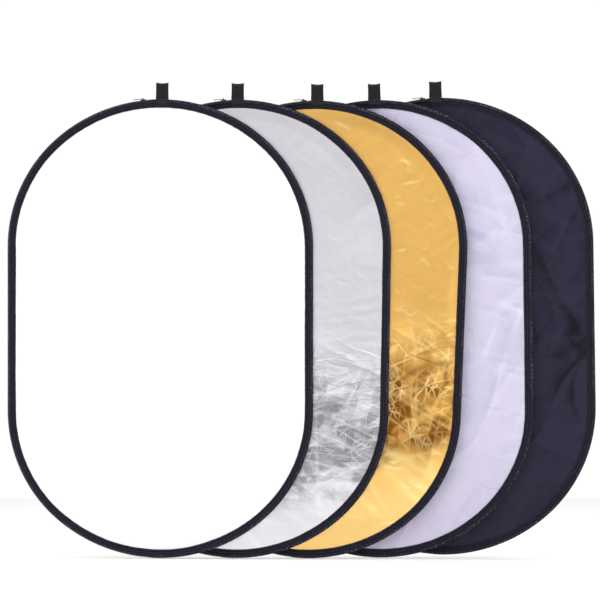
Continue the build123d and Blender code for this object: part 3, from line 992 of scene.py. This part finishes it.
for panel in PANELS:
    make_rim(panel)
    make_rim_stitching(panel)
    make_loop(panel)
    make_loop_stitching(panel)
    if panel in ZIPPED:
        make_zip_teeth(panel)


# ---- finishes on the CAD pieces that stay ------------------------------------------------------------
for part in frame["record"]["subparts"]:
    node = frame["nodes"][part["node"]]
    node.data.materials.clear()
    node.data.materials.append(MATERIALS[part["material_slot"]])


# ---- stage, light and camera -------------------------------------------------------------------------
LOOK_X = 0.2700
LOOK_Z = -ARCH_Z + 0.0561
LENS = 400
SENSOR = 36
VIEW_WIDE = 1.1772
CAMERA_AWAY = VIEW_WIDE * LENS / SENSOR
FLOOR_NEAR, FLOOR_FAR, FLOOR_SIDE = -40.0, 4.0, 40.0
FLOOR_ALBEDO = 0.97
WORLD_FRONT, WORLD_BACK = 0.55, 1.02


def make_floor():
    """A plain pale floor under the lowest rim."""
    low = CAD_BOX[0][2] - 0.4 * MM
    mesh = bpy.data.meshes.new("floor")
    corners = [(-FLOOR_SIDE, FLOOR_NEAR, low), (FLOOR_SIDE, FLOOR_NEAR, low),
               (FLOOR_SIDE, FLOOR_FAR, low), (-FLOOR_SIDE, FLOOR_FAR, low)]
    mesh.from_pydata(corners, [], [(0, 1, 2, 3)])
    floor = bpy.data.objects.new("floor", mesh)
    material, _, shader = blank_material("pale_floor")
    shader.inputs["Base Color"].default_value = (FLOOR_ALBEDO, FLOOR_ALBEDO, FLOOR_ALBEDO, 1)
    shader.inputs["Roughness"].default_value = 0.9
    mesh.materials.append(material)
    bpy.context.scene.collection.objects.link(floor)


def softbox(name, place, aim, size, power):
    """One large, soft area light."""
    data = bpy.data.lights.new(name, "AREA")
    data.shape = "RECTANGLE"
    data.size, data.size_y = size
    data.energy = power
    light = bpy.data.objects.new(name, data)
    light.location = place
    light.rotation_euler = (Vector(aim) - Vector(place)).to_track_quat("-Z", "Y").to_euler()
    light.visible_camera = False
    bpy.context.scene.collection.objects.link(light)


def make_world():
    """White behind the panels, a little dimmer in front of them, so that foil has something to mirror."""
    world = bpy.data.worlds.new("studio")
    bpy.context.scene.world = world
    world.use_nodes = True
    tree = world.node_tree
    background = tree.nodes["Background"]
    where = tree.nodes.new("ShaderNodeTexCoord")
    split = tree.nodes.new("ShaderNodeSeparateXYZ")
    link(tree, where, "Generated", split, "Vector")
    front = tree.nodes.new("ShaderNodeMapRange")
    front.inputs["From Min"].default_value = -0.75
    front.inputs["From Max"].default_value = 0.35
    front.inputs["To Min"].default_value = WORLD_FRONT
    front.inputs["To Max"].default_value = WORLD_BACK
    link(tree, split, "Y", front, "Value")
    tree.links.new(front.outputs["Result"], background.inputs["Strength"])
    background.inputs["Color"].default_value = (1, 1, 1, 1)


def make_camera():
    """A long lens straight in front, so far off that the panels behind look the front one's size."""
    data = bpy.data.cameras.new("camera")
    data.lens = LENS
    data.sensor_width = SENSOR
    data.clip_end = 100
    camera = bpy.data.objects.new("camera", data)
    camera.location = (LOOK_X, -CAMERA_AWAY, LOOK_Z)
    camera.rotation_euler = (pi / 2, 0, 0)
    bpy.context.scene.collection.objects.link(camera)
    bpy.context.scene.camera = camera


AIM = (LOOK_X, 0, LOOK_Z)
make_floor()
make_world()
softbox("key", (-2.6, -3.2, 1.4), AIM, size=(2.8, 2.8), power=42)
softbox("fill", (3.4, -3.0, 0.6), AIM, size=(2.4, 3.0), power=22)
softbox("overhead", (LOOK_X, -0.6, 2.8), (LOOK_X, -0.6, 0), size=(4.0, 4.0), power=75)
softbox("high_panel", (LOOK_X, -1.3, -0.05), (LOOK_X, 0, -0.05), size=(2.6, 0.8), power=1.2)
softbox("low_panel", (LOOK_X, -1.0, -0.8), (LOOK_X, 0, -0.8), size=(2.6, 0.24), power=0.45)
make_camera()
bpy.context.scene.view_settings.view_transform = "Standard"
